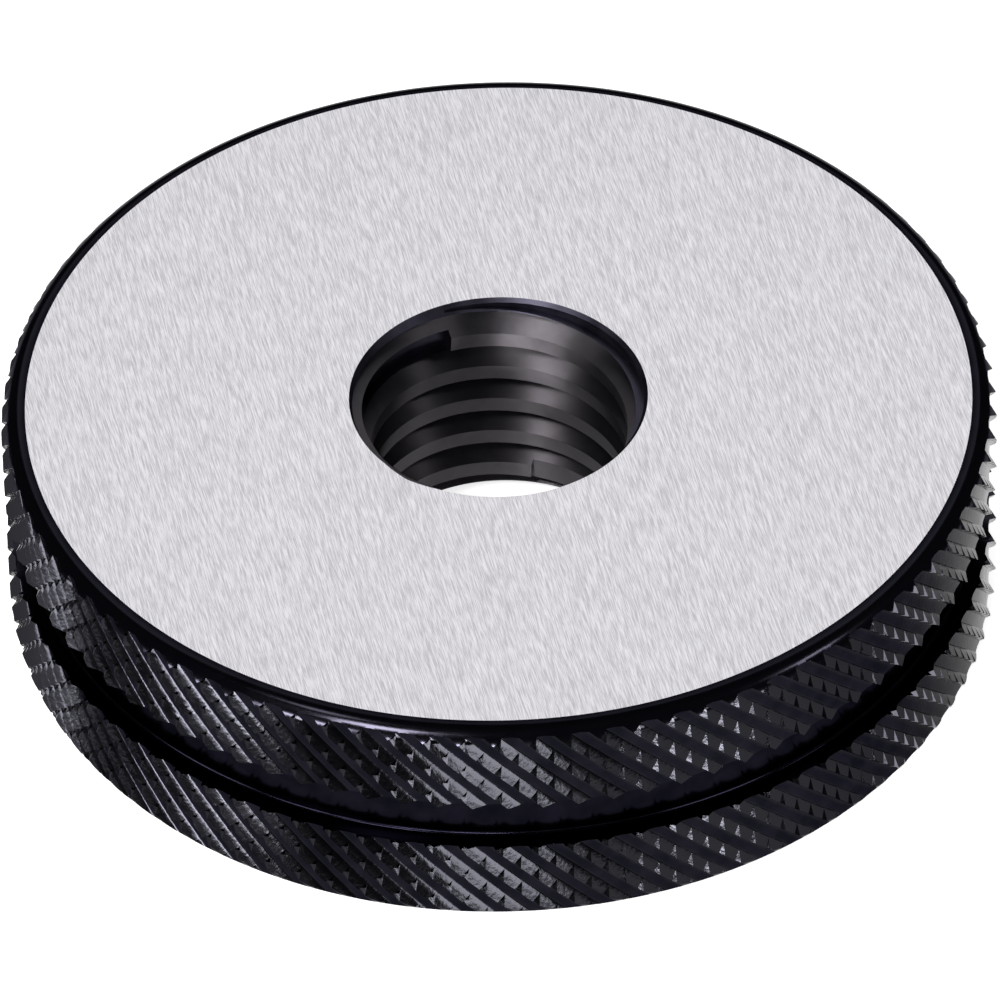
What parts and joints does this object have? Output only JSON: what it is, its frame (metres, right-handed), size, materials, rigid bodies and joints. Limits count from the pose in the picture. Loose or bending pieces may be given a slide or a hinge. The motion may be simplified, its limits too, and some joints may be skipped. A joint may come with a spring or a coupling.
{
  "type": "thread ring gauge",
  "caption": "Solid round thread ring gauge with a countersunk threaded bore, flat ground faces and a diamond-knurled rim parted by a groove.",
  "frame": {"origin": "centre of the lower ground face, on the bore's axis", "axes": "+Z along the bore's axis, up out of the upper ground face; X and Y lie in the lower face"},
  "size_m": [0.04, 0.04, 0.01],
  "materials": {
    "gauge_steel": "hardened tool steel, rim and bore blackened, both faces ground bright"
  },
  "bodies": {
    "root": {"gauge_ring": "gauge_steel"}
  },
  "joints": []
}
